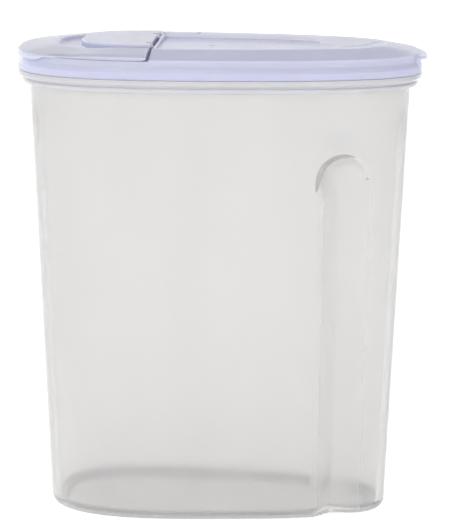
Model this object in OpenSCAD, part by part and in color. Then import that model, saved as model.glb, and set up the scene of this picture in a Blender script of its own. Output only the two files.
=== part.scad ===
// Cereal container with a lift-off lid and a flip spout cover.
// Millimetres. Z is up, Z = 0 is the base plane, X runs from the spout end
// (negative) to the grip end (positive), and the part is symmetric about Y = 0.

/* [Container] */
// Length of the container at its rim flange, spout end to grip end
rim_length = 240; // [216:2:264]
// Depth of the container at its rim flange, halfway along
rim_depth = 116; // [104:1:128]
// Extra depth at the spout end, taken off again at the grip end, each side
end_taper = 8; // [4:0.5:10]
// Height of the container up to the underside of the lid skirt
body_h = 272.7; // [250:0.1:300]
// Draft of the wall from rim to base, each side
wall_draft = 9.5; // [7:0.5:11]
// Wall thickness of the container
body_wall = 1.8; // [1.6:0.1:2.2]
// Thickness of the container's base
base_t = 2.4; // [2:0.1:3]
// Radius of the edge between wall and base
base_r = 6; // [4:0.5:8]

/* [Grip] */
// Place of the grip recess's straight edge along X
grip_x = 62; // [58:0.5:64]
// Width of the arch that closes the recess at its top
grip_w = 29; // [27:1:33]
// Height of the arch's top above the base
grip_top = 226.5; // [200:0.5:235]
// Depth of the grip recess
grip_depth = 9.2; // [7:0.1:9.4]

/* [Lid] */
// Height of the lid skirt up to the edge of the fixed top
skirt_h = 11.4; // [10.5:0.1:12]
// Height of the lid's ridge over its outer edge
ridge_h = 3.9; // [3:0.1:4.5]
// Distance of the ridge from the outer edge
ridge_in = 22; // [20:1:24]
// Depth of the sunken panel below the ridge
panel_drop = 3; // [2:0.1:3.2]
// Thickness of the lid's shell
lid_wall = 1.6; // [1.4:0.1:2]
// Reach of the pull tab past the skirt
tab_reach = 4.4; // [3:0.2:6]

/* [Flip cover] */
// Inset of the pour mouth from the rim flange
mouth_in = 18; // [16:0.5:20]
// Place of the pour mouth's straight edge along X
mouth_x = -52; // [-56:0.5:-50]
// Place of the gap between flip cover and fixed lid along X
gap_x = -38.1; // [-42:0.1:-36]
// Width of that gap
gap_w = 2.2; // [1.8:0.1:2.6]
// Height of the cover's raised plateau over the lid's ridge
plateau_up = 1.2; // [0.8:0.1:1.4]
// Shell thickness of the flip cover
flap_wall = 1.5; // [1.3:0.1:1.7]
// Depth of the plug ring under the deck
plug_depth = 3.2; // [2:0.2:5]
// Radius of the hinge pins
pin_r = 1.2; // [1:0.05:1.3]
// Running clearance of the hinge pins
pin_gap = 0.05; // [0.03:0.01:0.08]

/* [Hidden] */
n_l = 2.6;                       // roundness of the spout end
n_r = 2.95;                      // roundness of the grip end
A = rim_length/2;
W = rim_depth/2;
zs = body_h;                     // underside of the lid skirt
z_edge = zs + skirt_h;           // outer edge of the fixed top
z_deck = z_edge - 0.8;           // deck under the flip cover
z_ridge = z_edge + ridge_h;      // crest of the ridge
z_panel = z_ridge - panel_drop;  // sunken panel
z_end = z_ridge - 0.7;           // wall that ends the fixed top at the gap
z_plat = z_ridge + plateau_up;   // top of the cover's plateau
x_flap = gap_x - gap_w/2;        // end face of the flip cover
x_step = gap_x + gap_w/2;        // end face of the fixed top
piv_x = x_flap - 1.2;            // hinge axis
piv_z = z_ridge - 1.3;
wall_in = 6.6;                   // wall inset from the rim flange
NL = 16;                         // columns left of the grip edge
NR = 9;                          // columns right of the grip edge
NE = 4;                          // columns across the grip edge
EW = 6;                          // width of the grip edge's curve
grip_rad = grip_w/2;
grip_cx = grip_x + grip_rad;
grip_cz = grip_top - grip_rad;

// Half depth of the plan outline at x, for an outline moved in by d
function half_y(x, d) =
    let (a = A - d, q = x < 0 ? n_l : n_r, u = min(1, abs(x)/a))
    (W - d - end_taper*x/a) * pow(max(0, 1 - pow(u, q)), 1/q);

// Columns along x for an outline moved in by d, from spout end to grip end
function cols(d) = let (a = A - d) concat(
    [for (i = [0:NL]) -a + (grip_x + a)*(1 - cos(90*i/NL))],
    [for (i = [1:NE]) grip_x + EW*i/NE],
    [for (i = [1:NR]) grip_x + EW + (a - grip_x - EW)*sin(90*i/NR)]);

// Closed ring of plan points, front side first
function ring_xy(d) = let (c = cols(d), m = len(c)) concat(
    [for (i = [0:m-1]) [c[i], -half_y(c[i], d)]],
    [for (i = [m-2:-1:1]) [c[i], half_y(c[i], d)]]);

// Faces of a stack of rings of m points that closes on itself (a shell)
function tube_faces(r, m) = [for (j = [0:r-1], i = [0:m-1])
    let (k = (j + 1) % r, h = (i + 1) % m)
    each [[j*m + i, j*m + h, k*m + h], [j*m + i, k*m + h, k*m + i]]];
// Faces of a stack of rings with a fan at both ends (a solid)
function stack_faces(r, m) = concat(
    [for (j = [0:r-2], i = [0:m-1]) let (h = (i + 1) % m)
        each [[j*m + i, j*m + h, (j+1)*m + h], [j*m + i, (j+1)*m + h, (j+1)*m + i]]],
    [[for (i = [m-1:-1:0]) i]], [[for (i = [0:m-1]) (r-1)*m + i]]);
function flip(f) = [for (t = f) [for (i = [len(t)-1:-1:0]) t[i]]];

// Wall inset at height z: draft from the rim down to the base
function wall_d(z) = wall_in + wall_draft*(1 - z/(zs - 8.2));
// How far a point lies inside the grip recess; o widens it for the inner skin
function grip_dist(x, z, o) = o + (z < grip_cz ? x - grip_x :
    x < grip_cx ? grip_rad - norm([x - grip_cx, z - grip_cz])
                : grip_rad - norm([x - grip_cx, z - grip_cz]));
// Profile of the recess edge: steep at the edge, flat at the floor
function grip_s(t) = t <= 0 ? 0 : t >= EW ? 1 : sqrt(1 - pow(1 - t/EW, 2));
// Half depth of the wall, grip recess included, thickness t taken off
function wall_y(x, z, d, t) =
    let (y0 = half_y(x, d), f0 = half_y(grip_x, wall_d(z)) - t,
         s = grip_s(grip_dist(x, z, t)))
    min(y0, f0 - grip_depth*s);
function wall_ring(z, d, t, zz) = let (c = cols(d), m = len(c)) concat(
    [for (i = [0:m-1]) [c[i], -(c[i] > grip_x - t ? wall_y(c[i], z, d, t) : half_y(c[i], d)), zz]],
    [for (i = [m-2:-1:1]) [c[i], (c[i] > grip_x - t ? wall_y(c[i], z, d, t) : half_y(c[i], d)), zz]]);

wall_z = [20, 70, 120, 165, 198, grip_cz, grip_cz + 5, grip_cz + 9.5,
          grip_cz + 12.7, grip_cz + 14.6, grip_top, 246, zs - 10];
rim_out = [[6.6, -8.2], [3.4, -7.9], [3, -7.3], [3, -6.2], [2.4, -4.6], [0.3, -3.8],
           [0, -3.2], [0, -1.2], [0.6, -0.5], [1.4, -0.3], [4, -0.3], [4, 8.3], [4.3, 8.6]];
rim_in = [[5.7, 8.6], [6, 8.3], [6, -3.5], [8.4, -8.5]];

module container() {
    base_z = [for (i = [0:4]) base_r*(1 - cos(90*i/4))];
    outer = concat(
        [for (i = [0:4]) wall_ring(base_z[i], wall_d(base_z[i]) + base_r*(1 - sin(90*i/4)), 0, base_z[i])],
        [for (z = wall_z) wall_ring(z, wall_d(z), 0, z)],
        [for (p = rim_out) [for (q = ring_xy(p[0])) [q[0], q[1], zs + p[1]]]]);
    inner = concat(
        [for (p = rim_in) [for (q = ring_xy(p[0])) [q[0], q[1], zs + p[1]]]],
        [for (k = [len(wall_z)-1:-1:0]) wall_ring(wall_z[k], wall_d(wall_z[k]) + body_wall, body_wall, wall_z[k])],
        [for (i = [4:-1:0]) let (z = base_t + base_r*(1 - cos(90*i/4)))
            wall_ring(z, wall_d(z) + body_wall + base_r*(1 - sin(90*i/4)), body_wall, z)]);
    rings = concat(outer, inner);
    m = len(rings[0]);
    color([0.90, 0.90, 0.90, 0.6])
        polyhedron(points = [for (r = rings) each r], faces = flip(stack_faces(len(rings), m)), convexity = 6);
}

// A plan ring with its own inset and height at each column: f(i) gives them
function col(i, d) = let (a = A - d) i <= NL ? -a + (grip_x + a)*(1 - cos(90*i/NL))
    : i <= NL + NE ? grip_x + EW*(i - NL)/NE
    : grip_x + EW + (a - grip_x - EW)*sin(90*(i - NL - NE)/NR);
NC = NL + NE + NR;               // last column
M = 2*NC;                        // points in a ring
function pt(i, d, z) = let (k = i <= NC ? i : M - i, x = col(k, d))
    [x, (i <= NC ? -1 : 1)*half_y(x, d), z];
function sst(u) = let (v = min(1, max(0, u))) v*v*(3 - 2*v);
function xn(i) = col(i <= NC ? i : M - i, 0);
module rings(r) polyhedron(points = [for (g = r) each g], faces = flip(stack_faces(len(r), M)), convexity = 6);

// The panel's inner edge is steep, but at the grip end it runs out as a ramp
ramp = 12;
function foot(i) = ramp*sst((xn(i) - 78)/26);
// Lid, as [inset, height, 1 on the panel]: the underside from the panel out, then the outside back in
lid_under = [[ridge_in + 6, z_panel - lid_wall, 1], [ridge_in + 2, z_panel - lid_wall, 1], [ridge_in + 1, z_ridge - lid_wall, 0],
             [5, z_edge - lid_wall, 0], [3.3, z_edge - lid_wall - 0.4, 0], [3.3, zs + 0.3, 0]];
lid_out = [[1.4, zs + 0.3, 0], [0.5, zs + 1.2, 0], [0.2, zs + 3, 0], [0.7, zs + 5, 0], [1.7, zs + 6.4, 0],
           [1.7, z_edge - 1.4, 0], [2, z_edge - 0.5, 0], [2.9, z_edge, 0],
           [ridge_in - 2, z_ridge - 0.3, 0], [ridge_in, z_ridge, 0], [ridge_in + 2.4, z_ridge, 0],
           [ridge_in + 3.2, z_panel, 1]];
module lid_shell() rings([for (p = concat(lid_under, lid_out)) [for (i = [0:M-1]) pt(i, p[0] + p[2]*foot(i), p[1])]]);
// Solid block under the same top, for the wall that ends the fixed top
module lid_solid() rings([for (p = concat([[2.5, z_deck - lid_wall]],
    [for (k = [7:10]) lid_out[k]], [[ridge_in + 3, z_end]])) [for (i = [0:M-1]) pt(i, p[0], p[1])]]);

// Outline of the pour mouth, moved in by e: the lid's own curve, cut straight
function mouth_pts(e) = let (a = A - mouth_in - e, x1 = mouth_x - e, r = 9,
    xs = concat([for (i = [0:12]) -a + (x1 - r + a)*(1 - cos(90*i/12))],
                [for (i = [1:6]) x1 - r + r*sin(90*i/6)]),
    ys = [for (x = xs) half_y(x, mouth_in + e) - (x > x1 - r ? r - sqrt(max(0, r*r - pow(x - x1 + r, 2))) : 0)])
    concat([for (i = [0:18]) [xs[i], -ys[i]]], [for (i = [18:-1:1]) [xs[i], ys[i]]]);
// Superellipse from the gap towards the spout end
function half_oval(a, b, x0, n) = concat([[x0, -b]],
    [for (i = [0:24]) let (t = 90 + 180*i/24) [gap_x - a*pow(abs(cos(t)), 2/n), -b*(sin(t) < 0 ? -1 : 1)*pow(abs(sin(t)), 2/n)]],
    [[x0, b]]);

module pull_tab() difference() {
    union() {
        translate([100, -20, zs + 0.3]) cube([18.4, 40, z_edge - 0.8 - zs]);
        translate([0, 0, z_edge - 3.2]) linear_extrude(3)
            polygon(concat([[104, -20]], [for (i = [0:20]) let (t = -90 + 9*i)
                [112 + (A + tab_reach - 2 - 112 + 0.6)*pow(abs(cos(t)), 2/2.6), 20*(sin(t) < 0 ? -1 : 1)*pow(abs(sin(t)), 2/2.6)]], [[104, 20]]));
    }
    translate([0, 0, zs - 1]) linear_extrude(z_edge - lid_wall - zs + 1)
        polygon([for (i = [0:M-1]) let (q = pt(i, 3, 0)) [q[0], q[1]]]);
    translate([90, -30, zs]) cube([20, 60, 20]);
}

module lid() color([0.78, 0.80, 0.93]) difference() {
    union() {
        difference() {
            lid_shell();
            translate([-A - 10, -A, z_deck]) cube([A + 10 + x_step, 2*A, 20]);
        }
        difference() {
            translate([0, 0, z_deck - lid_wall]) linear_extrude(lid_wall)
                intersection() {
                    polygon([for (i = [0:M-1]) let (q = pt(i, 2.5, 0)) [q[0], q[1]]]);
                    translate([-A, -A]) square([A + x_step + lid_wall, 2*A]);
                }
            translate([0, 0, z_deck - 10]) linear_extrude(20) polygon(mouth_pts(0));
        }
        intersection() {
            lid_solid();
            translate([x_step, -A, z_deck - 5]) cube([lid_wall, 2*A, 20]);
        }
        for (s = [-1, 1]) translate([0, s*21, 0]) {
            translate([piv_x, 1.5, piv_z]) rotate([90, 0, 0]) cylinder(r = 2.1, h = 3, $fn = 48);
            translate([piv_x, -1.5, piv_z - 2.1]) cube([x_step + 0.8 - piv_x, 3, z_end - piv_z + 2.1]);
        }
        pull_tab();
    }
    for (s = [-1, 1]) translate([piv_x, s*21, piv_z]) {
        translate([0, 2, 0]) rotate([90, 0, 0]) cylinder(r = pin_r + pin_gap, h = 4, $fn = 48);
        translate([-0.8, -2, 0]) cube([1.6, 4, 5]);
    }
}

// Flip cover: edge, thumb lip at the spout end, shoulder, ridge and finger scoop
function lip(i) = 1 - sst((xn(i) + 106)/8);
// The lip's place across the edge changes only where it has risen clear of the skirt
function lip_in(i) = 1 - sst((xn(i) + 97)/7);
function mix(a, b, t) = a + (b - a)*t;
function top_e(i) = z_deck + 1.5 + 1.6*sst((xn(i) + 105)/40);
function top_r(i) = z_ridge - 1.3*sst((-58 - xn(i))/40);
z_floor = z_deck + 0.4 + flap_wall;
function cover_rings() = [
    [for (i = [0:M-1]) pt(i, ridge_in + 4.6, z_deck + 0.4)],
    [for (i = [0:M-1]) pt(i, ridge_in + 1, z_deck + 0.9)],
    [for (i = [0:M-1]) pt(i, ridge_in - 2, max(z_deck + 1.2, top_r(i) - flap_wall - 0.2))],
    [for (i = [0:M-1]) pt(i, mix(3.6, 1.35, lip_in(i)), mix(z_deck + 1.1, z_deck + 0.3, lip(i)))],
    [for (i = [0:M-1]) pt(i, mix(3.6, 1.35, lip_in(i)), mix(z_deck + 0.3, z_deck - 2.2, lip(i)))],
    [for (i = [0:M-1]) pt(i, mix(2.2, -0.1, lip_in(i)), mix(z_deck + 0.3, z_deck - 2.2, lip(i)))],
    [for (i = [0:M-1]) pt(i, mix(2.1, -0.3, lip_in(i)), mix(top_e(i) - 0.8, z_deck - 0.2, lip(i)))],
    [for (i = [0:M-1]) pt(i, mix(3, 1.2, lip_in(i)), top_e(i) - 0.1)],
    [for (i = [0:M-1]) pt(i, 6, top_e(i) + 0.4)],
    [for (i = [0:M-1]) pt(i, ridge_in - 2, top_r(i) - 0.3)],
    [for (i = [0:M-1]) pt(i, ridge_in, top_r(i))],
    [for (i = [0:M-1]) pt(i, ridge_in + 1.6, top_r(i) - 0.1)],
    [for (i = [0:M-1]) pt(i, ridge_in + 3.4, z_floor)]];
module cover_shell() rings(cover_rings());
module cover_solid() rings([for (k = [4:12]) cover_rings()[k]]);

module plug_2d() difference() {
    polygon(mouth_pts(0.8));
    polygon(mouth_pts(2.2));
}

module flip_cover() color([0.80, 0.82, 0.94]) {
    difference() {
        union() {
            difference() {
                union() {
                    intersection() {
                        cover_shell();
                        translate([-A - 10, -A, 0]) cube([A + 10 + x_flap, 2*A, 400]);
                    }
                    intersection() {
                        cover_solid();
                        translate([x_flap - flap_wall, -A, z_deck + 0.8]) cube([flap_wall, 2*A, 20]);
                    }
                    translate([0, 0, z_floor - 1]) linear_extrude(z_plat - z_floor + 1) intersection() {
                        polygon(half_oval(44, 33, x_flap, 2.6));
                        translate([-A, -A]) square([A + x_flap, 2*A]);
                    }
                }
                translate([0, 0, z_deck - 10]) linear_extrude(z_plat - flap_wall - z_deck + 10) intersection() {
                    polygon(half_oval(44 - flap_wall, 33 - flap_wall, x_flap, 2.6));
                    translate([-A, -A]) square([A + x_flap - flap_wall, 2*A]);
                }
            }
            // plug ring, up to the floor outside the plateau and up to its roof inside
            translate([0, 0, z_deck - plug_depth]) linear_extrude(plug_depth + 1) plug_2d();
            translate([0, 0, z_deck]) linear_extrude(z_plat - 1 - z_deck) intersection() {
                plug_2d();
                polygon(half_oval(44 - 0.7, 33 - 0.7, x_flap, 2.6));
                translate([-A, -A]) square([A + x_flap - 0.7, 2*A]);
            }
        }
        for (s = [-1, 1]) translate([piv_x - 3.1, s*21 - 2, z_deck - 1]) cube([6, 4, 20]);
        // the lower end edge turns past the deck, so it is rounded about the hinge axis
        difference() {
            translate([piv_x, -A, piv_z - 6]) cube([6, 2*A, 6]);
            translate([piv_x, A + 1, piv_z]) rotate([90, 0, 0]) cylinder(r = 2.75, h = 2*A + 2, $fn = 64);
        }
    }
    for (s = [-1, 1]) translate([piv_x, s*21, piv_z]) {
        translate([0, 3, 0]) rotate([90, 0, 0]) cylinder(r = pin_r, h = 6, $fn = 48);
        for (k = [-1, 1]) translate([0, k*3.5 + 1.5, 0]) rotate([90, 0, 0]) cylinder(r = 2.1, h = 3, $fn = 48);
    }
}

container();
lid();
flip_cover();
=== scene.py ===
import math

import bmesh
import bpy
import numpy as np
from mathutils import Matrix, Vector


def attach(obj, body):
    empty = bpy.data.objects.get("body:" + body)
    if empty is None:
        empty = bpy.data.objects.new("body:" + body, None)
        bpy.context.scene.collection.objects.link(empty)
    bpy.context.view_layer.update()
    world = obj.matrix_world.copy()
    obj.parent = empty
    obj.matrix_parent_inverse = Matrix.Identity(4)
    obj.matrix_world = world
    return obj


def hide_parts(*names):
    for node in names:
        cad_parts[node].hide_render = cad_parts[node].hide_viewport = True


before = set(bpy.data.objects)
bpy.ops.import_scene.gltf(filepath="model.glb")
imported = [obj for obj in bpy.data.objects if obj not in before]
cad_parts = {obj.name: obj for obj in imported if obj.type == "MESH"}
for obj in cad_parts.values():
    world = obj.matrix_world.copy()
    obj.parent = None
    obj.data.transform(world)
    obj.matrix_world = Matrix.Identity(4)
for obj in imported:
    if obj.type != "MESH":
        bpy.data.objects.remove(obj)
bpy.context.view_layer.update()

MM = 0.001

# ---------------------------------------------------------------- sizes, mm
A, W, TAPER = 120.0, 58.0, 8.0           # half length and half depth of the rim flange
ZS = 272.7                               # underside of the lid skirt
Z_EDGE, Z_DECK, Z_RIDGE, Z_PANEL, Z_END, Z_PLAT = 284.1, 283.3, 288.0, 285.0, 287.3, 289.2
LID_T, COVER_T, WALL, BASE_T, BASE_R = 1.6, 1.5, 1.8, 2.4, 6.0
END_THICK = 2.2                          # what the wall gains in thickness at its two ends
RIDGE_IN, MOUTH_IN, MOUTH_X, GAP_X = 21.0, 18.0, -52.0, -38.1
X_FLAP, X_STEP = -38.95, -37.25
PIV_X, PIV_Z = -40.4, 286.7
Z_FLOOR = Z_DECK + 0.4 + COVER_T         # floor of the cover's finger scoop
GRIP_X, GRIP_RAD, GRIP_TOP, GRIP_DEPTH, GRIP_EDGE = 62.0, 14.5, 226.5, 9.2, 6.0
GRIP_CX, GRIP_CZ, LEAN = GRIP_X + GRIP_RAD, GRIP_TOP - GRIP_RAD, 0.7


def half_y(x, d):
    """Half depth of the plan outline at x, for an outline moved in by d."""
    x = np.asarray(x, float)
    a = A - d
    u = np.minimum(1.0, np.abs(x) / a)
    q = np.where(x < 0, 2.6, 2.95)
    return (W - d - TAPER * x / a) * np.maximum(0.0, 1 - u ** q) ** (1 / q)


def sst(u):
    v = np.clip(u, 0, 1)
    return v * v * (3 - 2 * v)


def mix(a, b, t):
    return a + (b - a) * t


_arc = {}


def arc_x(d, x0, n):
    """n + 1 values of x from the outline's end to x0, evenly spaced along the curve."""
    key = (round(d, 5), x0, n)
    if key not in _arc:
        a = A - d
        end = -a if x0 < 0 or n < 0 else a
        s = np.linspace(0, 1, 6001) ** 4
        x = end + (x0 - end) * s
        y = half_y(x, d)
        run = np.concatenate([[0], np.cumsum(np.hypot(np.diff(x), np.diff(y)))])
        _arc[key] = np.interp(np.linspace(0, run[-1], abs(n) + 1), run, x)
    return _arc[key]


def columns(d, middle, nl, nr):
    """x of each column of an outline moved in by d. The middle ones are the same for every outline."""
    left = arc_x(d, middle[0], -nl) if middle[0] >= 0 else arc_x(d, middle[0], nl)
    right = arc_x(d, middle[-1], nr)[::-1] if middle[-1] > 0 else np.array([middle[-1]])
    return np.concatenate([left[:-1], middle, right[1:]])


def rounded(pts, n=5):
    """A polyline of (inset, z, radius), with each corner turned into an arc."""
    out = [np.array(pts[0][:2], float)]
    for k in range(1, len(pts) - 1):
        a, b, c = (np.array(pts[k + s][:2], float) for s in (-1, 0, 1))
        r = pts[k][2] if len(pts[k]) > 2 else 0
        u, v = a - b, c - b
        lu, lv = np.linalg.norm(u), np.linalg.norm(v)
        u, v = u / lu, v / lv
        ang = math.acos(max(-1.0, min(1.0, float(u @ v))))
        if r <= 0 or ang > math.pi - 0.05:
            out.append(b)
            continue
        t = min(r / math.tan(ang / 2), 0.49 * lu, 0.49 * lv)
        r = t * math.tan(ang / 2)
        mid = b + (u + v) / np.linalg.norm(u + v) * (r / math.sin(ang / 2))
        p, q = b + u * t, b + v * t
        a0 = math.atan2(*(p - mid)[::-1])
        a1 = math.atan2(*(q - mid)[::-1])
        da = (a1 - a0 + math.pi) % (2 * math.pi) - math.pi
        for i in range(n + 1):
            w = a0 + da * i / n
            out.append(mid + r * np.array([math.cos(w), math.sin(w)]))
    out.append(np.array(pts[-1][:2], float))
    return out


# ---------------------------------------------------------------- mesh building
def ring(x, y, z, back=None):
    """A closed ring of points: the front side from end to end, then the back side."""
    z = np.broadcast_to(z, x.shape)
    front = np.stack([x, -y, z], 1)
    far = np.stack([x, y if back is None else back, z], 1)
    return np.concatenate([front, far[-2:0:-1]])


def loft(rings, close=False):
    """Vertices and quads of a stack of rings of the same length."""
    m, r = len(rings[0]), len(rings)
    v = np.concatenate(rings)
    faces = []
    for j in range(r if close else r - 1):
        k = (j + 1) % r
        for i in range(m):
            h = (i + 1) % m
            faces.append((j * m + i, j * m + h, k * m + h, k * m + i))
    return v, faces


class Mesh:
    def __init__(self):
        self.v, self.f = [], []

    def add(self, v, faces):
        n = sum(len(a) for a in self.v)
        self.v.append(np.asarray(v, float))
        self.f += [tuple(n + i for i in f) for f in faces]
        return n

    def cap(self, start, m, height=None, rows=24):
        """Fills a ring of m points, stored from start, with strips across its depth. height(x, y, z) shapes it."""
        v = np.concatenate(self.v)
        nc = m // 2
        grid = {}
        extra = []
        base = len(v)
        for i in range(1, nc):
            f, b = start + i, start + m - i
            line = [f]
            for k in range(1, rows):
                t = k / rows
                p = v[f] * (1 - t) + v[b] * t
                if height is not None:
                    p = np.array([p[0], p[1], height(p[0], p[1], p[2])])
                line.append(base + len(extra))
                extra.append(p)
            line.append(b)
            grid[i] = line
        faces = []
        for i in range(1, nc - 1):
            for k in range(rows):
                faces.append((grid[i][k], grid[i + 1][k], grid[i + 1][k + 1], grid[i][k + 1]))
        for k in range(rows):
            faces.append((start, grid[1][k], grid[1][k + 1]))
            faces.append((grid[nc - 1][k], start + nc, grid[nc - 1][k + 1]))
        self.v.append(np.array(extra))
        self.f += faces

    def build(self, name):
        me = bpy.data.meshes.new(name)
        me.from_pydata((np.concatenate(self.v) * MM).tolist(), [], self.f)
        bm = bmesh.new()
        bm.from_mesh(me)
        bmesh.ops.remove_doubles(bm, verts=bm.verts, dist=1e-8)
        bmesh.ops.dissolve_degenerate(bm, edges=bm.edges, dist=1e-8)
        bmesh.ops.recalc_face_normals(bm, faces=bm.faces)
        bm.to_mesh(me)
        bm.free()
        ob = bpy.data.objects.new(name, me)
        bpy.context.scene.collection.objects.link(ob)
        return ob


def boolean(ob, other, how):
    """ob joined with, or cut by, another closed mesh, which is then removed."""
    for solver in ("EXACT", "MANIFOLD"):
        mod = ob.modifiers.new("b", "BOOLEAN")
        mod.operation, mod.object, mod.solver = how, other, solver
        dg = bpy.context.evaluated_depsgraph_get()
        me = bpy.data.meshes.new_from_object(ob.evaluated_get(dg))
        ob.modifiers.clear()
        bm = bmesh.new()
        bm.from_mesh(me)
        bmesh.ops.remove_doubles(bm, verts=bm.verts, dist=2e-7)
        bmesh.ops.dissolve_degenerate(bm, edges=bm.edges, dist=1e-7)
        whole = len(bm.faces) > 0 and all(e.is_manifold for e in bm.edges)
        bm.to_mesh(me)
        bm.free()
        if whole:
            break
        print("boolean", solver, "left an open mesh:", ob.name, other.name)
    if len(me.polygons) == 0:
        raise RuntimeError("empty boolean " + ob.name + " " + other.name)
    old, ob.data = ob.data, me
    bpy.data.meshes.remove(old)
    gone = other.data
    bpy.data.objects.remove(other)
    bpy.data.meshes.remove(gone)


def prism(name, outline, levels):
    """A closed solid from a plan outline: levels are (offset function or number, z); outline(e) gives the ring moved out by e."""
    me = Mesh()
    rings = [np.c_[outline(e), np.full(len(outline(e)), z)] for e, z in levels]
    v, f = loft(rings)
    m = len(rings[0])
    f.append(tuple(range(m)))
    f.append(tuple(range(len(v) - m, len(v))))
    me.add(v, f)
    return me.build(name)


def shade(ob, angle=32):
    """Smooth shading that follows the large faces, so the small ones beside a cut leave no marks."""
    me = ob.data
    for p in me.polygons:
        p.use_smooth = True
    me.set_sharp_from_angle(angle=math.radians(angle))
    mod = ob.modifiers.new("w", "WEIGHTED_NORMAL")
    mod.mode, mod.weight, mod.keep_sharp = "FACE_AREA", 60, True
    dg = bpy.context.evaluated_depsgraph_get()
    new = bpy.data.meshes.new_from_object(ob.evaluated_get(dg))
    ob.modifiers.clear()
    ob.data = new
    bpy.data.meshes.remove(me)


# ---------------------------------------------------------------- container
def wall_d(z):
    return 6.6 + 9.5 * (1 - z / (ZS - 8.2))


def lean(z):
    """The recess's straight edge leans towards the grip end as it rises."""
    return LEAN * (2 * min(z, GRIP_CZ) / GRIP_CZ - 1)


def grip_dist(x, z, o):
    arch = GRIP_RAD - np.hypot(x - GRIP_CX - LEAN, z - GRIP_CZ)
    return o + (x - GRIP_X - lean(z) if z < GRIP_CZ else arch)


def grip_s(t, z, back):
    """The recess edge's profile: rounded at its crease, steep, then flat. The straight side and the far recess are softer."""
    soft = 1 - float(sst((z - GRIP_CZ + 12) / 16))
    w, edge, lead = (3.0, 11.0, 3.0) if back else (0.85 + 1.6 * soft, GRIP_EDGE + 2.5 * soft, 1.8 + 1.2 * soft)
    u = np.clip((0.5 * (t + np.sqrt(t * t + w * w)) - 0.02) / edge, 0, 1)
    u = u * u / (u + 0.035) * 1.035
    steep = np.sqrt(np.maximum(0, 1 - (1 - u) ** 2)) * sst((t + lead) / lead)
    return mix(steep, sst((t + 1.5) / 12.0), 0.85 * soft if not back else 0.5)


def wall_y(x, z, d, t, back=False):
    """Half depth of the wall; the recess floor runs out softly into the curve of the grip end."""
    y0 = half_y(x, d)
    s = grip_s(grip_dist(x, z, t), z, back)
    y1 = half_y(GRIP_X + lean(z) - 1.7 - t, d) - GRIP_DEPTH * s
    k = 0.02 + 5.0 * s
    h = np.clip(0.5 + 0.5 * (y1 - y0) / k, 0, 1)
    soft = mix(y1, y0, h) - k * h * (1 - h)
    return np.where((s > 0) & (y0 > 0.5), np.maximum(np.minimum(soft, y0), 0), y0)


GRIP_COLS = np.concatenate([np.arange(52.0, 58.9, 1.4), np.arange(59.0, 69.9, 0.45), np.arange(70.0, 89.9, 0.9), [90.0]])


def wall_ring(z, d, t, zz):
    """One level of the wall. The inside is a little shorter, so the wall is thicker round its two ends."""
    x = columns(d, GRIP_COLS, 84, 26)
    short = 1 - (END_THICK * float(sst((ZS - 10 - z) / 30)) / (A - d) if t > 0 else 0)
    return ring(x * short, wall_y(x, z, d, t), zz, wall_y(x, z, d, t, True))


def plain_ring(d, z):
    x = columns(d, GRIP_COLS, 84, 26)
    return ring(x, half_y(x, d), z)


def make_container():
    zs_low = list(np.linspace(BASE_R, 196, 20))
    zs_arch = list(np.arange(198.0, 232.1, 0.7))
    zs_top = list(np.linspace(236, ZS - 10, 5))
    wall_z = zs_low + zs_arch + zs_top
    n = 9
    outer = []
    for i in range(n):
        c, s = math.cos(math.pi / 2 * i / n), math.sin(math.pi / 2 * i / n)
        z = BASE_R * (1 - c)
        outer.append(wall_ring(z, wall_d(z) + BASE_R * (1 - s), 0, z))
    outer += [wall_ring(z, wall_d(z), 0, z) for z in wall_z]
    rim = rounded([(6.62, -9.2), (6.6, -8.1, 0.8), (3.0, -7.7, 0.8), (2.3, -6.6, 0.8), (2.4, -5.2, 0.6),
                   (3.0, -4.9, 0.3), (2.2, -4.4, 0.4), (0.08, -2.7, 1.3), (0.08, -0.08, 0.2), (3.96, -0.05, 0.3), (4.0, 8.6, 0.45),
                   (6.0, 8.6, 0.45), (6.0, -3.4, 1.5), (8.42, -8.6, 2.0), (8.44, -9.6)], 6)
    mid = [plain_ring(p[0], ZS + p[1]) for p in rim]
    inner = [wall_ring(z, wall_d(z) + WALL, WALL, z) for z in wall_z[::-1]]
    for i in range(n - 1, -1, -1):
        c, s = math.cos(math.pi / 2 * i / n), math.sin(math.pi / 2 * i / n)
        z = BASE_T + BASE_R * (1 - c)
        inner.append(wall_ring(z, wall_d(z) + WALL + BASE_R * (1 - s), WALL, z))
    rings = outer + mid + inner
    me = Mesh()
    v, f = loft(rings)
    me.add(v, f)
    m = len(rings[0])

    def foot(x, y, z):
        """The underside is hollow inside a narrow standing rim."""
        room = np.minimum(half_y(x, wall_d(0) + BASE_R) - abs(y), 98 - abs(x + 1))
        if x > GRIP_X - 8:
            room = min(room, max(wall_y(np.array([x]), 0, wall_d(0) + BASE_R, 0, y > 0)[0] - abs(y), 0))
        return 0.9 * float(sst((room - 2.5) / 2.0))

    me.cap(0, m, foot, 30)
    me.cap((len(rings) - 1) * m, m, None, 30)
    ob = me.build("Container")
    for p in ob.data.polygons:
        c = p.center
        x, z = c.x / MM, c.z / MM
        if z > ZS - 8.6:
            p.material_index = 2
        # painted shade: the outer faces along the bottom edge take the darker base material
        elif z < 3.9 and p.normal.z < 0.2 and float(half_y(x, wall_d(0) + 3.2)) < abs(c.y) / MM + 3.2:
            p.material_index = 3
        elif x > GRIP_X - 3 and 0.1 < z < GRIP_TOP + 1 and p.normal.y < 0 and c.y / MM < -8:
            y0 = float(half_y(x, wall_d(z))) - abs(c.y) / MM
            on_outer = p.normal.y * c.y > 0 and float(grip_dist(np.array([x]), z, 0)[0]) > -1.2
            if on_outer and y0 > 1.2 and z > 3:
                p.material_index = 1
    shade(ob, 45)
    return ob


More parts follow.
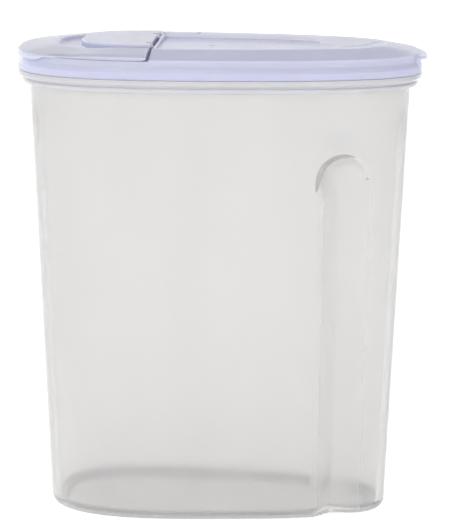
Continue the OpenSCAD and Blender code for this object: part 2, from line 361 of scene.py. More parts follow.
# ---------------------------------------------------------------- lid
LID_MID = np.array([X_STEP - 1.4, X_STEP - 0.5, X_STEP - 0.25, X_STEP - 0.08, X_STEP, X_STEP, X_STEP + 0.07, X_STEP + 0.22,
                    X_STEP + 0.5, X_STEP + 1.1, X_STEP + 1.6, X_STEP + 1.6, X_STEP + 2.2, X_STEP + 4, X_STEP + 7])
LID_NL, LID_NR = 90, 130


def lid_columns(d):
    a = A - d
    x = np.concatenate([arc_x(d, LID_MID[0], LID_NL)[:-1], LID_MID])
    s = np.linspace(0, 1, 6001)
    dense = LID_MID[-1] + (a - LID_MID[-1]) * (1 - (1 - s) ** 4)
    y = half_y(dense, d)
    run = np.concatenate([[0], np.cumsum(np.hypot(np.diff(dense), np.diff(y)))])
    right = np.interp(np.linspace(0, run[-1], LID_NR + 1), run, dense)
    return np.concatenate([x, right[1:]])


def foot_in():
    """How much farther in the panel's edge lies at each column: it runs out as a ramp at the grip end."""
    return 12.0 * sst((lid_columns(0.0) - 78) / 26)


_lid_grid = {}


def lid_x(d):
    """x of every lid column, where d holds one inset for each column."""
    j = np.floor(d).astype(int)
    for g in range(j.min(), j.max() + 2):
        if g not in _lid_grid:
            _lid_grid[g] = lid_columns(float(g))
    k = np.arange(len(d))
    lo = np.array([_lid_grid[a][b] for a, b in zip(j, k)])
    hi = np.array([_lid_grid[a + 1][b] for a, b in zip(j, k)])
    return mix(lo, hi, d - j)


def lid_ring(d, z, under):
    """A ring of the lid's skin. Left of the step it is no higher than the deck."""
    x = lid_columns(d)
    if d > RIDGE_IN + (0.5 if under else 1.5):
        top = Z_RIDGE - (LID_T if under else 0)
        w = float(np.clip((top - z) / (Z_RIDGE - Z_PANEL), 0, 1))
        if w > 0:
            d = d + w * foot_in()
            x = lid_x(d)
    n0 = LID_NL
    zz = np.full(len(x), float(z))
    deck = Z_DECK - (LID_T if under else 0)
    low = min(z, deck)
    if under:
        zz[:n0 + 11] = low
        if z > deck:
            zz[n0 + 10] = deck + 0.0
            zz[n0 + 11] = z
    else:
        zz[:n0 + 2] = low
        if z > deck:
            for k, up in ((2, 0.02), (3, 0.12), (4, 0.3)):
                zz[n0 + k] = min(deck + up, z)
            wall = max(z, Z_END) if np.min(d) > RIDGE_IN + 1.5 else z
            for k, down in ((5, 0.42), (6, 0.22), (7, 0.07)):
                zz[n0 + k] = max(wall - down, deck + 0.3 if z > deck + 0.3 else deck)
            for k, down in ((8, 0.0), (9, 0.03), (10, 0.28), (11, 0.5)):
                zz[n0 + k] = max(wall - down, z)
        else:
            zz[:] = z
    return ring(x, half_y(x, d), zz)


def mouth(e, n=40):
    """Outline of the pour mouth moved in by e: the lid's own curve, cut straight."""
    x1, r = MOUTH_X - e, 9.0
    d = MOUTH_IN + e
    xs = arc_x(d, x1 - r, n)
    ys = half_y(xs, d)
    ang = np.linspace(0, math.pi / 2, 11)[1:]
    xe = x1 - r + r * np.sin(ang)
    ye = half_y(np.full(len(xe), x1 - r), d) - r + r * np.cos(ang) + (half_y(xe, d) - half_y(np.full(len(xe), x1 - r), d)) * np.cos(ang)
    x = np.concatenate([xs, xe])
    y = np.concatenate([ys, ye])
    front = np.c_[x, -y]
    return np.concatenate([front, np.c_[x, y][:0:-1]])


def rounded_box(name, x0, x1, y0, y1, z0, z1, r, rz, n=6):
    """A block with round upright edges of radius r, and its top and bottom edges rounded by rz."""
    def outline(e):
        pts = []
        for cx, cy, a0 in ((x1 - r, y1 - r, 0), (x0 + r, y1 - r, 90), (x0 + r, y0 + r, 180), (x1 - r, y0 + r, 270)):
            for i in range(n + 1):
                t = math.radians(a0 + 90 * i / n)
                pts.append((cx + (r + e) * math.cos(t), cy + (r + e) * math.sin(t)))
        return np.array(pts)
    levels = []
    if rz > 0:
        k = 5
        levels += [(-rz * (1 - math.sin(math.pi / 2 * i / k)), z0 + rz * (1 - math.cos(math.pi / 2 * i / k))) for i in range(k + 1)]
        levels += [(-rz * (1 - math.cos(math.pi / 2 * i / k)), z1 - rz * (1 - math.sin(math.pi / 2 * i / k))) for i in range(k + 1)]
    else:
        levels = [(0, z0), (0, z1)]
    return prism(name, outline, levels)


def bar(name, x, z, r, y0, y1, round_r=0.0, n=40):
    """A round bar along Y, with its end edges rounded."""
    me = Mesh()
    prof = [(y0, 0.0)]
    k = 4
    if round_r > 0:
        prof += [(y0 + round_r * (1 - math.cos(math.pi / 2 * i / k)), r - round_r * (1 - math.sin(math.pi / 2 * i / k))) for i in range(k + 1)]
        prof += [(y1 - round_r * (1 - math.cos(math.pi / 2 * i / k)), r - round_r * (1 - math.sin(math.pi / 2 * i / k))) for i in range(k, -1, -1)]
    else:
        prof += [(y0, r), (y1, r)]
    t = np.linspace(0, 2 * math.pi, n + 1)[:-1]
    rings = [np.c_[x + rr * np.cos(t), np.full(n, y), z + rr * np.sin(t)] for y, rr in prof[1:]]
    v, f = loft(rings)
    f.append(tuple(range(n)))
    f.append(tuple(range(len(v) - n, len(v))))
    me.add(v, f)
    return me.build(name)


def make_ear():
    """The pull tab's lip: a D in plan that droops towards its tip."""
    reach, half, x0, mid = A + 3.0, 20.0, 102.5, 112.5
    t = np.linspace(0, math.pi, 61)
    rings = []
    k, r = 6, 1.05
    levels = [(-r * (1 - math.sin(math.pi / 2 * i / k)), -r - r * math.cos(math.pi / 2 * i / k)) for i in range(k + 1)]
    levels += [(-r * (1 - math.cos(math.pi / 2 * i / k)), -r + r * math.sin(math.pi / 2 * i / k)) for i in range(1, k + 1)]
    for e, z in levels:
        c, s = np.cos(t), np.sin(t)
        p = np.where(c > 0, 4.0, 2.5)
        ax = np.where(c > 0, mid - x0, reach - mid) + e
        x = mid - ax * np.sign(c) * np.abs(c) ** (2 / p)
        y = (half + e) * s ** (2 / p)
        droop = 2.1 * np.clip((x - 109) / 14, 0, 1) ** 1.7
        rings.append(ring(x, y, z + Z_EDGE - 0.15 - droop))
    me = Mesh()
    v, f = loft(rings)
    me.add(v, f)
    m = len(rings[0])
    me.cap(0, m, None, 16)
    me.cap((len(rings) - 1) * m, m, None, 16)
    return me.build("Ear")


def plan(d, n=80):
    """The lid's plan outline moved in by d, as one closed loop."""
    xs = np.concatenate([arc_x(d, 0.0, -n), arc_x(d, 0.0, n)[::-1][1:]])
    ys = half_y(xs, d)
    return np.concatenate([np.c_[xs, -ys], np.c_[xs, ys][-2:0:-1]])


def make_lid():
    under = rounded([(RIDGE_IN + 6, Z_PANEL - LID_T), (RIDGE_IN + 1.9, Z_PANEL - LID_T, 0.8), (RIDGE_IN + 0.8, Z_RIDGE - LID_T, 0.9), (5.0, Z_EDGE - LID_T, 1.5),
                     (3.3, Z_EDGE - LID_T - 0.3, 1.0), (3.3, ZS + 0.06)], 5)
    out = rounded([(3.3, ZS + 0.06), (0.3, ZS + 0.06, 0.15), (0.12, ZS + 1.2, 1.0), (0.2, ZS + 4.0, 1.6), (1.8, ZS + 6.9, 3.2),
                   (2.0, Z_EDGE - 1.0, 1.2), (2.15, Z_EDGE - 0.05, 0.95), (5.5, Z_EDGE + 0.55, 2.0), (RIDGE_IN - 3.0, Z_RIDGE - 0.45, 3.0),
                   (RIDGE_IN - 0.2, Z_RIDGE + 0.02, 1.6), (RIDGE_IN + 1.9, Z_RIDGE - 0.02, 0.8), (RIDGE_IN + 3.9, Z_PANEL, 0.7),
                   (RIDGE_IN + 5.5, Z_PANEL)], 6)
    rings = [lid_ring(p[0], p[1], True) for p in under[:-1]]
    n_under = len(rings)
    rings += [lid_ring(p[0], p[1], False) for p in out]
    me = Mesh()
    v, f = loft(rings)
    me.add(v, f)
    m = len(rings[0])
    deck_u, deck_o = Z_DECK - LID_T, Z_DECK
    me.cap(0, m, lambda x, y, z: z, 20)
    me.cap((len(rings) - 1) * m, m, lambda x, y, z: z, 20)
    ob = me.build("Lid")

    # pull tab: a hollow block under a drooping lip
    block = rounded_box("Block", 98.0, 118.4, -20, 20, ZS + 0.35, Z_EDGE - 2.0, 2.2, 0.35)
    hollow = rounded_box("Hollow", 90.0, 116.9, -18.5, 18.5, ZS - 3, Z_EDGE - 4.4, 1.2, 0)
    keep = prism("Keep", lambda e: plan(2.9 - e), [(0, ZS - 5), (0, Z_EDGE + 5)])
    boolean(block, hollow, "DIFFERENCE")
    boolean(block, keep, "DIFFERENCE")
    boolean(ob, block, "UNION")
    ear = make_ear()
    under_cut = prism("Under", lambda e: plan(3.2 - e), [(0, ZS - 5), (0, Z_EDGE - LID_T - 0.25)])
    boolean(ear, under_cut, "DIFFERENCE")
    boolean(ob, ear, "UNION")

    # hinge sockets
    for s in (-1, 1):
        eye = bar("Eye", PIV_X, PIV_Z, 2.1, s * 21 - 1.5, s * 21 + 1.5, 0.3)
        arm = rounded_box("Arm", PIV_X, X_STEP + 0.9, s * 21 - 1.5, s * 21 + 1.5, PIV_Z - 2.08, Z_END - 0.05, 0.25, 0.2, 3)
        boolean(eye, arm, "UNION")
        boolean(eye, bar("Bore", PIV_X, PIV_Z, 1.25, s * 21 - 3, s * 21 + 3), "DIFFERENCE")
        boolean(eye, rounded_box("Slot", PIV_X - 0.8, PIV_X + 0.8, s * 21 - 3, s * 21 + 3, PIV_Z, PIV_Z + 5, 0.1, 0, 2), "DIFFERENCE")
        boolean(ob, eye, "UNION")

    # pour mouth, with soft edges
    levels = [(0.6, deck_u - 1.0), (0.45, deck_u - 0.05), (0.16, deck_u + 0.1), (0.0, deck_u + 0.45),
              (0.0, deck_o - 0.5), (0.15, deck_o - 0.12), (0.5, deck_o + 0.05), (0.6, deck_o + 1.0)]
    cut = prism("Mouth", lambda e: mouth(-e), levels)
    boolean(ob, cut, "DIFFERENCE")

    # moulding gate in the panel, and a small break in the far ridge
    dimple = ball("Dimple", (-5.0, 0.0, Z_PANEL + 7.66), 8.0)
    boolean(ob, dimple, "DIFFERENCE")
    nub = bar_z("Nub", -5.0, 0.0, 0.55, Z_PANEL - 0.5, Z_PANEL - 0.02, 0.2)
    boolean(ob, nub, "UNION")
    nick = rounded_box("Nick", -16.4, -14.2, 32.0, 38.4, Z_RIDGE - 0.8, Z_RIDGE + 2, 0.6, 0, 4)
    boolean(ob, nick, "DIFFERENCE")
    shade(ob, 35)
    return ob


def ball(name, centre, r):
    bm = bmesh.new()
    bmesh.ops.create_icosphere(bm, subdivisions=5, radius=r * MM)
    bmesh.ops.translate(bm, verts=bm.verts, vec=[c * MM for c in centre])
    me = bpy.data.meshes.new(name)
    bm.to_mesh(me)
    bm.free()
    ob = bpy.data.objects.new(name, me)
    bpy.context.scene.collection.objects.link(ob)
    return ob


def bar_z(name, x, y, r, z0, z1, round_r, n=28):
    """A round post along Z with a rounded top edge."""
    t = np.linspace(0, 2 * math.pi, n + 1)[:-1]
    k = 4
    prof = [(z0, r)] + [(z1 - round_r * (1 - math.sin(math.pi / 2 * i / k)), r - round_r * (1 - math.cos(math.pi / 2 * i / k))) for i in range(k + 1)]
    rings = [np.c_[x + rr * np.cos(t), y + rr * np.sin(t), np.full(n, z)] for z, rr in prof]
    me = Mesh()
    v, f = loft(rings)
    f.append(tuple(range(n)))
    f.append(tuple(range(len(v) - n, len(v))))
    me.add(v, f)
    return me.build(name)


# ---------------------------------------------------------------- flip cover
COVER_MID = np.array([X_FLAP - 1.9, X_FLAP - 1.5, X_FLAP - 1.5, X_FLAP - 0.9, X_FLAP - 0.5, X_FLAP - 0.33, X_FLAP - 0.18, X_FLAP - 0.07, X_FLAP])
COVER_DROP = np.array([0, 0, 0, 0, 0, 0.035, 0.12, 0.25, 0.45])
COVER_NL = 110
_grid_d = np.arange(-1.0, 30.01, 0.5)
_grid_x = None


def cover_x(d):
    """x of every cover column for the inset of each: d holds one inset for each column."""
    global _grid_x
    if _grid_x is None:
        _grid_x = np.array([np.concatenate([arc_x(g, COVER_MID[0], COVER_NL)[:-1], COVER_MID]) for g in _grid_d])
    k = np.arange(_grid_x.shape[1])
    f = (d - _grid_d[0]) / 0.5
    j = np.clip(np.floor(f).astype(int), 0, len(_grid_d) - 2)
    w = f - j
    return _grid_x[j, k] * (1 - w) + _grid_x[j + 1, k] * w


def corners(pts, n=5):
    """Like rounded(), for arrays of columns at once: each point is (insets, heights, radius). Always the same count."""
    out = [(pts[0][0], pts[0][1])]
    for k in range(1, len(pts) - 1):
        r = pts[k][2]
        b = np.stack(pts[k][:2], 1)
        if r <= 0:
            out.append((b[:, 0], b[:, 1]))
            continue
        a, c = np.stack(pts[k - 1][:2], 1), np.stack(pts[k + 1][:2], 1)
        u, v = a - b, c - b
        lu, lv = np.linalg.norm(u, axis=1), np.linalg.norm(v, axis=1)
        t = np.minimum(r, np.minimum(0.48 * lu, 0.48 * lv))[:, None]
        p, q = b + u / lu[:, None] * t, b + v / lv[:, None] * t
        for i in range(n + 1):
            s = i / n
            m = (1 - s) ** 2 * p + 2 * s * (1 - s) * b + s * s * q
            out.append((m[:, 0], m[:, 1]))
    out.append((pts[-1][0], pts[-1][1]))
    return out


def make_cover():
    xn = cover_x(np.zeros(COVER_NL + len(COVER_MID)))
    one = np.ones(len(xn))
    lip = 1 - sst((xn + 107) / 9)
    lip_in = 1 - sst((xn + 98.5) / 8)
    te = Z_DECK + 1.5 + 1.6 * sst((xn + 105) / 40)
    tr = Z_RIDGE + 0.15 - 1.1 * sst((-62 - xn) / 38)
    endw = np.zeros(len(xn), bool)
    endw[COVER_NL + 2:] = True
    drop = np.zeros(len(xn))
    drop[COVER_NL:] = COVER_DROP
    top = [
        (27.0 * one, Z_FLOOR * one, 0),
        (25.5 * one, Z_FLOOR * one, 0.7),
        (24.3 * one, tr - 0.02, 0.8),
        (21.6 * one, tr + 0.05, 1.0),
        (mix(4.6, 3.6, lip_in), te + 0.12, 2.4),
        (mix(2.5, 0.35, lip_in), te - mix(0.9, 0.45, lip_in), 1.2),
        (mix(2.15, -0.3, lip_in), mix(te - 1.25, Z_DECK - 0.2, lip), 0.5),
        (mix(2.2, -0.1, lip_in), mix(Z_DECK + 0.14, Z_DECK - 2.2, lip), 0.2),
    ]
    lo_edge = mix(Z_DECK + 0.14, Z_DECK - 2.2, lip)
    lo_in = mix(Z_DECK + 1.1, Z_DECK + 0.35, lip)
    und_r = np.maximum(Z_DECK + 1.2, tr - COVER_T - 0.2)
    und_m = Z_DECK + 0.9
    low_end = Z_DECK + 0.8
    under = [
        (mix(3.6, 1.35, lip_in), lo_edge, 0.25),
        (mix(3.6, 1.35, lip_in) + 0.001, np.where(endw, low_end, lo_in), 0.4),
        (19.8 * one, np.where(endw, low_end, und_r), 1.5),
        (23.0 * one, np.where(endw, low_end, und_m * one), 0.8),
        (26.6 * one, (Z_DECK + 0.4) * one, 0),
        (28.0 * one, (Z_DECK + 0.4) * one, 0),
    ]
    prof = corners(top + under, 5)
    n_top = 1 + 6 * (len(top) - 1)
    K = len(xn) - 1
    rows = []
    for j, (d, z) in enumerate(prof):
        x = cover_x(d)
        y = half_y(x, d)
        y[0] = 0.0
        zz = z.copy()
        if j < n_top:
            limit = np.where(z > low_end + 0.4, z - drop, z)
            zz = np.maximum(limit, np.minimum(z, low_end + 0.2))
        front = np.stack([x, -y, zz], 1)[::-1]            # from the gap to the spout's tip
        back = np.stack([x, y, zz], 1)[1:]
        rows.append(np.concatenate([front, back]))
    J, N = len(rows), 2 * K + 1
    v = [np.concatenate(rows)]
    faces = [(j * N + i, j * N + i + 1, (j + 1) * N + i + 1, (j + 1) * N + i) for j in range(J - 1) for i in range(N - 1)]
    count = J * N

    def fill(j, n_rows):
        nonlocal count
        lines = {0: [j * N + K]}
        flat = np.concatenate(v)
        new = []
        for i in range(1, K + 1):
            f, b = j * N + K - i, j * N + K + i
            line = [f]
            for k in range(1, n_rows):
                w = k / n_rows
                new.append(flat[f] * (1 - w) + flat[b] * w)
                line.append(count)
                count += 1
            line.append(b)
            lines[i] = line
        v.append(np.array(new))
        for i in range(1, K):
            for k in range(n_rows):
                faces.append((lines[i][k], lines[i + 1][k], lines[i + 1][k + 1], lines[i][k + 1]))
        for k in range(n_rows):
            faces.append((lines[0][0], lines[1][k], lines[1][k + 1]))
        return lines[K]
    line_top = fill(0, 20)
    line_und = fill(J - 1, 20)
    end = [j * N for j in range(J)] + line_und[1:-1] + [j * N + N - 1 for j in range(J - 1, -1, -1)] + line_top[-2:0:-1]
    faces.append(tuple(end))
    me = Mesh()
    me.add(np.concatenate(v), faces)
    ob = me.build("FlipCover")

    def plateau(e, end):
        t = np.linspace(math.pi / 2, 3 * math.pi / 2, 61)
        a, b = 44.0 + e, 33.0 + e
        x = GAP_X - a * np.abs(np.cos(t)) ** (2 / 2.6)
        y = b * np.sign(np.sin(t)) * np.abs(np.sin(t)) ** (2 / 2.6)
        keep = x < end - 0.01
        yb = float(b * (1 - (abs(GAP_X - end) / a) ** 2.6) ** (1 / 2.6))
        return np.concatenate([[[end, yb]], np.c_[x, y][keep], [[end, -yb]]])
    k, r = 7, 1.1
    lv = [(0.35, Z_FLOOR - 0.6), (0.35, Z_FLOOR + 0.05), (0.0, Z_FLOOR + 0.5)]
    lv += [(-r * (1 - math.cos(math.pi / 2 * i / k)), Z_PLAT - r * (1 - math.sin(math.pi / 2 * i / k))) for i in range(k + 1)]
    block = prism("Plateau", lambda e: plateau_ring(plateau, e), lv)
    boolean(ob, block, "UNION")
    core = prism("Core", lambda e: plateau(e, X_FLAP - COVER_T), [(-1.5, Z_DECK - 10), (-1.5, Z_PLAT - 1.9), (-1.9, Z_PLAT - 1.5)])
    boolean(ob, core, "DIFFERENCE")

    plug = prism("Plug", lambda e: mouth(-e), [(-1.15, Z_DECK - 3.2), (-0.95, Z_DECK - 3.05), (-0.8, Z_DECK - 2.7), (-0.8, Z_DECK + 1.0)])
    boolean(plug, prism("PlugIn", lambda e: mouth(-e), [(-1.9, Z_DECK - 4), (-1.9, Z_DECK - 3.2), (-2.2, Z_DECK - 2.8), (-2.2, Z_DECK + 2)]), "DIFFERENCE")
    tall = prism("Tall", lambda e: mouth(-e), [(-0.8, Z_DECK), (-0.8, Z_PLAT - 1.0)])
    boolean(tall, prism("TallIn", lambda e: mouth(-e), [(-2.2, Z_DECK - 2), (-2.2, Z_PLAT + 2)]), "DIFFERENCE")
    boolean(tall, prism("TallKeep", lambda e: plateau(e, X_FLAP - 0.7), [(-0.7, Z_DECK - 6), (-0.7, Z_PLAT + 4)]), "INTERSECT")
    boolean(plug, tall, "UNION")
    boolean(ob, plug, "UNION")

    for s in (-1, 1):
        boolean(ob, rounded_box("Notch", PIV_X - 3.1, PIV_X + 4, s * 21 - 1.8, s * 21 + 1.8, Z_DECK - 1, PIV_Z + 0.9, 0.4, 0, 3), "DIFFERENCE")
        boolean(ob, bar("NotchEye", PIV_X, PIV_Z, 2.3, s * 21 - 1.78, s * 21 + 1.78), "DIFFERENCE")
        boolean(ob, rounded_box("NotchTop", PIV_X - 1.75, PIV_X + 4, s * 21 - 1.79, s * 21 + 1.79, PIV_Z - 1, Z_DECK + 16, 0.4, 0, 3), "DIFFERENCE")
    arc = np.linspace(-math.pi / 2, 0, 17)
    poly = [(PIV_X + 2.75 * math.cos(a), PIV_Z + 2.75 * math.sin(a)) for a in arc] + [(PIV_X + 7, PIV_Z), (PIV_X + 7, PIV_Z - 7), (PIV_X, PIV_Z - 7)]
    rings = [np.array([(x, y, z) for x, z in poly]) for y in (-80.0, 80.0)]
    me = Mesh()
    vv, ff = loft(rings)
    n = len(poly)
    ff += [tuple(range(n)), tuple(range(n, 2 * n))]
    me.add(vv, ff)
    boolean(ob, me.build("Relief"), "DIFFERENCE")
    for s in (-1, 1):
        boolean(ob, bar("Pin", PIV_X, PIV_Z, 1.2, s * 21 - 3, s * 21 + 3), "UNION")
        for q in (-1, 1):
            y0 = s * 21 + q * 3.5
            boolean(ob, bar("Boss", PIV_X, PIV_Z, 2.1, y0 - 1.5 - 0.04 * (q > 0), y0 + 1.5 + 0.04 * (q < 0), 0.25), "UNION")
    shade(ob, 35)
    return ob


def plateau_ring(f, e):
    """The plateau's outline; its straight end stays just short of the cover's end face."""
    return f(e, X_FLAP - 0.02 + min(e, 0))


# ---------------------------------------------------------------- materials
def node(nt, kind, x, y, **settings):
    n = nt.nodes.new(kind)
    n.location = (x, y)
    for key, value in settings.items():
        setattr(n, key, value)
    return n


def noise(nt, coord, scale, detail, x, y, rough=0.5):
    n = node(nt, "ShaderNodeTexNoise", x, y)
    n.inputs["Scale"].default_value = scale
    n.inputs["Detail"].default_value = detail
    n.inputs["Roughness"].default_value = rough
    nt.links.new(coord, n.inputs["Vector"])
    return n.outputs["Fac"]


def spread(nt, value, lo, hi, x, y):
    n = node(nt, "ShaderNodeMapRange", x, y)
    n.inputs["From Min"].default_value, n.inputs["From Max"].default_value = 0.3, 0.7
    n.inputs["To Min"].default_value, n.inputs["To Max"].default_value = lo, hi
    nt.links.new(value, n.inputs["Value"])
    return n.outputs["Result"]


def plastic(name, dark, pale, rough, through, ior=1.49, grain=0.05, flow=(1, 1, 1), bump_scale=900, spec=0.5, milky=0.0, coat=0.0):
    """Moulded translucent plastic: faint flow marks in the colour, uneven polish, and a fine mould grain."""
    mat = bpy.data.materials.new(name)
    mat.use_nodes = True
    nt = mat.node_tree
    nt.nodes.clear()
    out = node(nt, "ShaderNodeOutputMaterial", 700, 0)
    b = node(nt, "ShaderNodeBsdfPrincipled", 400, 0)
    nt.links.new(b.outputs[0], out.inputs["Surface"])
    coord = node(nt, "ShaderNodeTexCoord", -900, 0).outputs["Object"]
    stretch = node(nt, "ShaderNodeMapping", -700, 0)
    stretch.inputs["Scale"].default_value = flow
    nt.links.new(coord, stretch.inputs["Vector"])
    marks = noise(nt, stretch.outputs[0], 22, 5, -480, 200, 0.55)
    ramp = node(nt, "ShaderNodeValToRGB", -200, 200)
    ramp.color_ramp.elements[0].position, ramp.color_ramp.elements[1].position = 0.3, 0.72
    ramp.color_ramp.elements[0].color = (*dark, 1)
    ramp.color_ramp.elements[1].color = (*pale, 1)
    nt.links.new(marks, ramp.inputs["Fac"])
    nt.links.new(ramp.outputs["Color"], b.inputs["Base Color"])
    polish = noise(nt, coord, 60, 4, -480, -60)
    nt.links.new(spread(nt, polish, rough[0], rough[1], -200, -60), b.inputs["Roughness"])
    grit = noise(nt, coord, bump_scale, 3, -480, -320)
    wave = noise(nt, stretch.outputs[0], 35, 2, -480, -520)
    both = node(nt, "ShaderNodeMath", -220, -400, operation="ADD")
    scaled = node(nt, "ShaderNodeMath", -340, -520, operation="MULTIPLY")
    scaled.inputs[1].default_value = 1.6
    nt.links.new(wave, scaled.inputs[0])
    nt.links.new(grit, both.inputs[0])
    nt.links.new(scaled.outputs[0], both.inputs[1])
    bump = node(nt, "ShaderNodeBump", 0, -400)
    bump.inputs["Strength"].default_value = grain
    bump.inputs["Distance"].default_value = 0.0001
    nt.links.new(both.outputs[0], bump.inputs["Height"])
    nt.links.new(bump.outputs[0], b.inputs["Normal"])
    b.inputs["IOR"].default_value = ior
    b.inputs["Transmission Weight"].default_value = through
    b.inputs["Specular IOR Level"].default_value = spec
    b.inputs["Subsurface Weight"].default_value = milky
    b.inputs["Subsurface Radius"].default_value = (0.85, 0.85, 1.0)
    b.inputs["Subsurface Scale"].default_value = 0.005
    b.inputs["Coat Weight"].default_value = coat
    b.inputs["Coat Roughness"].default_value = 0.06
    b.inputs["Coat IOR"].default_value = 1.5
    return mat


body_mat = plastic("BodyPlastic", (0.84, 0.833, 0.827), (0.87, 0.863, 0.857), (0.13, 0.18), 0.80, grain=0.03, flow=(1, 1, 0.25), coat=0.7)
grip_mat = plastic("GripPlastic", (0.82, 0.813, 0.807), (0.85, 0.843, 0.837), (0.285, 0.34), 0.70, grain=0.03, flow=(1, 1, 0.25), bump_scale=1400)
rim_mat = plastic("RimPlastic", (0.70, 0.70, 0.735), (0.73, 0.73, 0.765), (0.14, 0.20), 0.35, grain=0.02, milky=0.5, coat=0.3)
# painted shade: a darker, less clear grey for the container's bottom edge, standing in for the shade along its foot
base_edge_shade_mat = plastic("BaseEdgePaintedShade", (0.45, 0.45, 0.455), (0.49, 0.49, 0.495), (0.14, 0.20), 0.25, grain=0.03, spec=0.3)
lid_mat = plastic("LidPlastic", (0.535, 0.545, 0.71), (0.575, 0.585, 0.75), (0.18, 0.24), 0.0, grain=0.02, milky=0.8, spec=0.25)
# painted light: a paler copy of the lid plastic for the far ridge's inner slope, in place of the backlight through the
# ridge
far_slope_painted_light_mat = plastic("LidFarSlopePaintedLight", (0.74, 0.75, 0.92), (0.78, 0.79, 0.95), (0.18, 0.24), 0.0, grain=0.02, milky=0.8, spec=0.25)
# painted shade: the cover is the lid's lavender made a little darker, standing in for the dimmer light on its top
cover_shaded_mat = plastic("CoverPlasticShaded", (0.52, 0.53, 0.69), (0.56, 0.57, 0.73), (0.20, 0.26), 0.0, grain=0.02, milky=0.8, spec=0.25)

# ---------------------------------------------------------------- pieces
container = make_container()
container.data.materials.append(body_mat)
container.data.materials.append(grip_mat)
container.data.materials.append(rim_mat)
container.data.materials.append(base_edge_shade_mat)
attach(container, "container")
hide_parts("container")

lid = make_lid()
lid.data.materials.clear()
lid.data.materials.append(lid_mat)
lid.data.materials.append(far_slope_painted_light_mat)
for p in lid.data.polygons:                 # painted light: the far ridge's inner slope gets a paler lavender, standing in for the light from behind that shines through it
    x, y, z = p.center / MM
    near = float(half_y(np.array([x]), RIDGE_IN - 1.0)[0]) - y
    if y > 8 and x > X_STEP + 1.8 and z > Z_PANEL + 0.08 and near > 0 and p.normal.y < -0.1 and p.normal.z > 0:
        p.material_index = 1
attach(lid, "lid")
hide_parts("lid")

cover = make_cover()
cover.data.materials.clear()
cover.data.materials.append(cover_shaded_mat)
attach(cover, "flip_cover")
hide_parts("flip_cover")

# ---------------------------------------------------------------- floor, light, camera
me = bpy.data.meshes.new("Floor")
s = 12.0
me.from_pydata([(-s, -s, -0.0003), (s, -s, -0.0003), (s, s, -0.0003), (-s, s, -0.0003)], [], [(0, 1, 2, 3)])
floor = bpy.data.objects.new("Floor", me)
bpy.context.scene.collection.objects.link(floor)
fm = bpy.data.materials.new("FloorPaper")
fm.use_nodes = True
p = fm.node_tree.nodes["Principled BSDF"]
p.inputs["Base Color"].default_value = (0.9, 0.9, 0.9, 1)
p.inputs["Roughness"].default_value = 0.9
p.inputs["Specular IOR Level"].default_value = 0.1
p.inputs["Emission Color"].default_value = (1, 1, 1, 1)
p.inputs["Emission Strength"].default_value = 0.62
me.materials.append(fm)

world = bpy.data.worlds.new("Studio")
bpy.context.scene.world = world
world.use_nodes = True
nt = world.node_tree
nt.nodes.clear()
wo = node(nt, "ShaderNodeOutputWorld", 600, 0)
bg = node(nt, "ShaderNodeBackground", 400, 0)
tc = node(nt, "ShaderNodeTexCoord", -600, 0)
sep = node(nt, "ShaderNodeSeparateXYZ", -400, 0)
nt.links.new(tc.outputs["Generated"], sep.inputs[0])
ramp = node(nt, "ShaderNodeValToRGB", -100, 0)
nt.links.new(sep.outputs["Z"], ramp.inputs["Fac"])
el = ramp.color_ramp.elements
el[0].position, el[0].color = 0.0, (1.0, 1.0, 1.0, 1)
el[1].position, el[1].color = 1.0, (0.58, 0.58, 0.58, 1)
e = el.new(0.27)
e.color = (1.0, 1.0, 1.0, 1)
e = el.new(0.38)
e.color = (0.6, 0.6, 0.6, 1)
e = el.new(0.68)
e.color = (0.56, 0.56, 0.56, 1)
nt.links.new(ramp.outputs["Color"], bg.inputs["Color"])
way = node(nt, "ShaderNodeMapRange", -100, -250)          # the backdrop behind the object is the brighter side
way.inputs["From Min"].default_value, way.inputs["From Max"].default_value = -0.3, 0.6
way.inputs["To Min"].default_value, way.inputs["To Max"].default_value = 0.92, 1.15
nt.links.new(sep.outputs["Y"], way.inputs["Value"])
side = node(nt, "ShaderNodeMapRange", -100, -500)         # and the left is brighter than the right
side.inputs["From Min"].default_value, side.inputs["From Max"].default_value = 0.0, 0.8
side.inputs["To Min"].default_value, side.inputs["To Max"].default_value = 1.0, 0.72
nt.links.new(sep.outputs["X"], side.inputs["Value"])
both_ways = node(nt, "ShaderNodeMath", 150, -300, operation="MULTIPLY")
nt.links.new(way.outputs["Result"], both_ways.inputs[0])
nt.links.new(side.outputs["Result"], both_ways.inputs[1])
strips = []                                               # two tall strips behind the object, off to its sides
for k, (a, b, more) in enumerate(((-0.22, -0.45, 0.85), (0.22, 0.45, 0.1))):
    edge = node(nt, "ShaderNodeMapRange", -100, -750 - 250 * k)
    edge.inputs["From Min"].default_value, edge.inputs["From Max"].default_value = a, b
    edge.inputs["To Min"].default_value, edge.inputs["To Max"].default_value = 0.0, more
    nt.links.new(sep.outputs["X"], edge.inputs["Value"])
    strips.append(edge.outputs["Result"])
both = node(nt, "ShaderNodeMath", 100, -850, operation="ADD")
nt.links.new(strips[0], both.inputs[0])
nt.links.new(strips[1], both.inputs[1])
behind = node(nt, "ShaderNodeMapRange", -100, -1250)
behind.inputs["From Min"].default_value, behind.inputs["From Max"].default_value = 0.1, 0.4
nt.links.new(sep.outputs["Y"], behind.inputs["Value"])
strip = node(nt, "ShaderNodeMath", 250, -900, operation="MULTIPLY")
nt.links.new(both.outputs[0], strip.inputs[0])
nt.links.new(behind.outputs["Result"], strip.inputs[1])
total = node(nt, "ShaderNodeMath", 300, -400, operation="ADD")
nt.links.new(both_ways.outputs[0], total.inputs[0])
nt.links.new(strip.outputs[0], total.inputs[1])
nt.links.new(total.outputs[0], bg.inputs["Strength"])
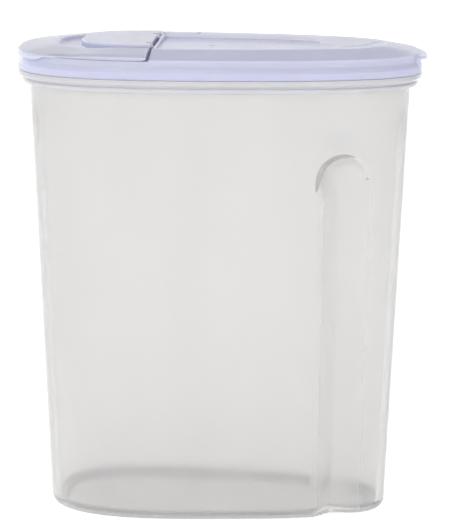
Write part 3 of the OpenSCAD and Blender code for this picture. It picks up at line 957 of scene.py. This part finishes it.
nt.links.new(bg.outputs[0], wo.inputs[0])


def lamp(name, loc, target, size, power, color=(1, 1, 1)):
    d = bpy.data.lights.new(name, "AREA")
    d.shape = "RECTANGLE"
    d.size, d.size_y = size
    d.energy = power
    d.color = color
    o = bpy.data.objects.new(name, d)
    bpy.context.scene.collection.objects.link(o)
    o.location = loc
    o.rotation_mode = "QUATERNION"
    o.rotation_quaternion = (Vector(target) - Vector(loc)).to_track_quat("-Z", "Y")
    return o


lamp("KeyLeft", (-1.5, -1.6, 1.3), (0, 0, 0.16), (1.2, 1.2), 3)
lamp("FillRight", (1.8, -1.0, 1.0), (0, 0, 0.16), (1.2, 1.2), 1.5)
lamp("FrontBox", (-0.25, -1.6, 1.62), (0, 0, 0.28), (1.5, 0.5), 12)

cam_data = bpy.data.cameras.new("Camera")
cam = bpy.data.objects.new("Camera", cam_data)
bpy.context.scene.collection.objects.link(cam)
yaw, pitch, roll, f_px = -0.0582, 0.2446, 0.0058, 2041.3
fw = Vector((math.sin(yaw) * math.cos(pitch), math.cos(yaw) * math.cos(pitch), -math.sin(pitch)))
rt = Vector((math.cos(yaw), -math.sin(yaw), 0))
up = rt.cross(fw)
rt2 = math.cos(roll) * rt + math.sin(roll) * up
up2 = -math.sin(roll) * rt + math.cos(roll) * up
m = Matrix((rt2, up2, -fw)).transposed().to_4x4()
m.translation = Vector((73.93, -1206.09, 453.88)) * MM
cam.matrix_world = m
cam_data.sensor_width = 36.0
cam_data.lens = f_px / 525 * 36
cam_data.clip_start, cam_data.clip_end = 0.01, 100
bpy.context.scene.camera = cam

sc = bpy.context.scene
sc.view_settings.view_transform = "Standard"
sc.view_settings.look = "None"
sc.cycles.max_bounces = 16
sc.cycles.transmission_bounces = 14
sc.cycles.glossy_bounces = 6
sc.cycles.diffuse_bounces = 6
sc.cycles.transparent_max_bounces = 16
sc.cycles.caustics_refractive = True
sc.cycles.caustics_reflective = True
sc.cycles.blur_glossy = 0.5
sc.cycles.sample_clamp_indirect = 4.0
